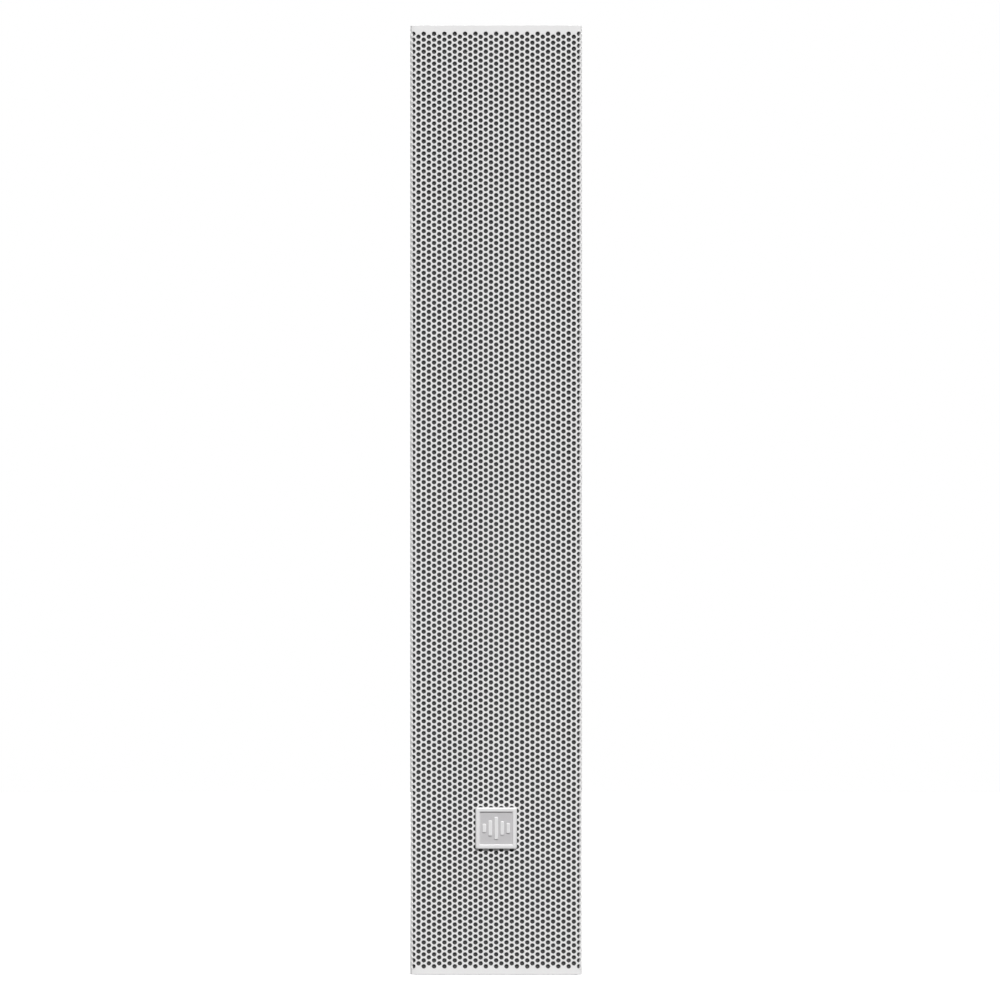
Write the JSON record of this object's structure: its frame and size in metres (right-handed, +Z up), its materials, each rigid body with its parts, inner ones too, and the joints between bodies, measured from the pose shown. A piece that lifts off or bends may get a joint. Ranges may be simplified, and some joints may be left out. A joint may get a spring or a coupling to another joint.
{
  "type": "column loudspeaker",
  "caption": "Slim wall-mounted column loudspeaker: stacked small drivers in an extruded cabinet with a wrap-around perforated grille and a tilt and pan bracket.",
  "frame": {"origin": "centre of the cabinet's lower end, on the flat face that it stands on", "axes": "+Z up along the column, the grille faces -Y, the wall bracket is at +Y, +X is to the right of someone facing the grille"},
  "size_m": [0.1006, 0.1692, 0.556],
  "materials": {
    "cabinet_aluminium": "white powder coat",
    "cap_plastic": "matte",
    "grille_steel": "white powder coat",
    "grille_cloth": "matte",
    "badge_metal": "satin",
    "fastener_zinc": "satin",
    "bracket_steel": "white powder coat",
    "arm_casting": "white powder coat",
    "baffle_steel": "matte",
    "frame_steel": "satin",
    "magnet_ferrite": "matte",
    "cone_paper": "matte",
    "surround_rubber": "matte",
    "spider_cloth": "matte",
    "wadding": "matte",
    "circuit_board": "gloss",
    "connector_plastic": "satin",
    "panel_plastic": "matte",
    "core_steel": "matte",
    "winding_copper": "matte",
    "loom_sleeve": "matte"
  },
  "bodies": {
    "cabinet": {"enclosure": "cabinet_aluminium", "top_cap": "cap_plastic", "bottom_cap": "cap_plastic", "grille": "grille_steel", "grille_cloth": "grille_cloth", "badge": "badge_metal", "baffle": "baffle_steel", "acoustic_foam": "wadding", "network_board": "circuit_board", "transformer_core": "core_steel", "transformer_winding": "winding_copper", "wiring_loom": "loom_sleeve", "terminal_panel": "panel_plastic", "input_header": "connector_plastic", "selector_switch": "panel_plastic", "cabinet_bracket": "bracket_steel", "tilt_bolt": "fastener_zinc", "rail_bolt_left": "fastener_zinc", "rail_nut_left": "fastener_zinc", "top_cap_screw_left": "fastener_zinc", "bottom_cap_screw_left": "fastener_zinc", "rail_bolt_right": "fastener_zinc", "rail_nut_right": "fastener_zinc", "top_cap_screw_right": "fastener_zinc", "bottom_cap_screw_right": "fastener_zinc", "driver_frame_1": "frame_steel", "magnet_1": "magnet_ferrite", "surround_1": "surround_rubber", "spider_1": "spider_cloth", "driver_frame_2": "frame_steel", "magnet_2": "magnet_ferrite", "surround_2": "surround_rubber", "spider_2": "spider_cloth", "driver_frame_3": "frame_steel", "magnet_3": "magnet_ferrite", "surround_3": "surround_rubber", "spider_3": "spider_cloth", "driver_frame_4": "frame_steel", "magnet_4": "magnet_ferrite", "surround_4": "surround_rubber", "spider_4": "spider_cloth", "driver_frame_5": "frame_steel", "magnet_5": "magnet_ferrite", "surround_5": "surround_rubber", "spider_5": "spider_cloth", "driver_frame_6": "frame_steel", "magnet_6": "magnet_ferrite", "surround_6": "surround_rubber", "spider_6": "spider_cloth"},
    "arm": {"swivel_arm": "arm_casting"},
    "wall_mount": {"wall_plate": "bracket_steel", "pan_bolt": "fastener_zinc"},
    "knob": {"selector_knob": "panel_plastic"},
    "plug": {"input_plug": "connector_plastic"},
    "diaphragm_1": {"cone_1": "cone_paper"},
    "diaphragm_2": {"cone_2": "cone_paper"},
    "diaphragm_3": {"cone_3": "cone_paper"},
    "diaphragm_4": {"cone_4": "cone_paper"},
    "diaphragm_5": {"cone_5": "cone_paper"},
    "diaphragm_6": {"cone_6": "cone_paper"}
  },
  "joints": [
    {"name": "tilt", "type": "hinge", "parent": "cabinet", "child": "arm", "pos_m": [0, 0.072, 0.28], "axis": [1, 0, 0], "range_deg": [-10, 10]},
    {"name": "pan", "type": "hinge", "parent": "arm", "child": "wall_mount", "pos_m": [0, 0.095, 0.28], "axis": [0, 0, 1], "range_deg": [-35, 35]},
    {"name": "power_select", "type": "hinge", "parent": "cabinet", "child": "knob", "pos_m": [0, 0.036, 0.08], "axis": [0, 1, 0], "range_deg": [0, 120]},
    {"name": "plug_pull", "type": "slide", "parent": "cabinet", "child": "plug", "axis": [0, 1, 0], "range_m": [0, 0.01]},
    {"name": "cone_1_travel", "type": "slide", "parent": "cabinet", "child": "diaphragm_1", "axis": [0, 1, 0], "range_m": [-0.0025, 0.0025], "stiffness_N_per_m": 1200, "deforming": ["surround_1", "spider_1"]},
    {"name": "cone_2_travel", "type": "slide", "parent": "cabinet", "child": "diaphragm_2", "axis": [0, 1, 0], "range_m": [-0.0025, 0.0025], "stiffness_N_per_m": 1200, "deforming": ["surround_2", "spider_2"]},
    {"name": "cone_3_travel", "type": "slide", "parent": "cabinet", "child": "diaphragm_3", "axis": [0, 1, 0], "range_m": [-0.0025, 0.0025], "stiffness_N_per_m": 1200, "deforming": ["surround_3", "spider_3"]},
    {"name": "cone_4_travel", "type": "slide", "parent": "cabinet", "child": "diaphragm_4", "axis": [0, 1, 0], "range_m": [-0.0025, 0.0025], "stiffness_N_per_m": 1200, "deforming": ["surround_4", "spider_4"]},
    {"name": "cone_5_travel", "type": "slide", "parent": "cabinet", "child": "diaphragm_5", "axis": [0, 1, 0], "range_m": [-0.0025, 0.0025], "stiffness_N_per_m": 1200, "deforming": ["surround_5", "spider_5"]},
    {"name": "cone_6_travel", "type": "slide", "parent": "cabinet", "child": "diaphragm_6", "axis": [0, 1, 0], "range_m": [-0.0025, 0.0025], "stiffness_N_per_m": 1200, "deforming": ["surround_6", "spider_6"]}
  ],
  "couplings": [
    {"joint": "cone_2_travel", "follows": "cone_1_travel", "ratio": 1},
    {"joint": "cone_3_travel", "follows": "cone_1_travel", "ratio": 1},
    {"joint": "cone_4_travel", "follows": "cone_1_travel", "ratio": 1},
    {"joint": "cone_5_travel", "follows": "cone_1_travel", "ratio": 1},
    {"joint": "cone_6_travel", "follows": "cone_1_travel", "ratio": 1}
  ]
}
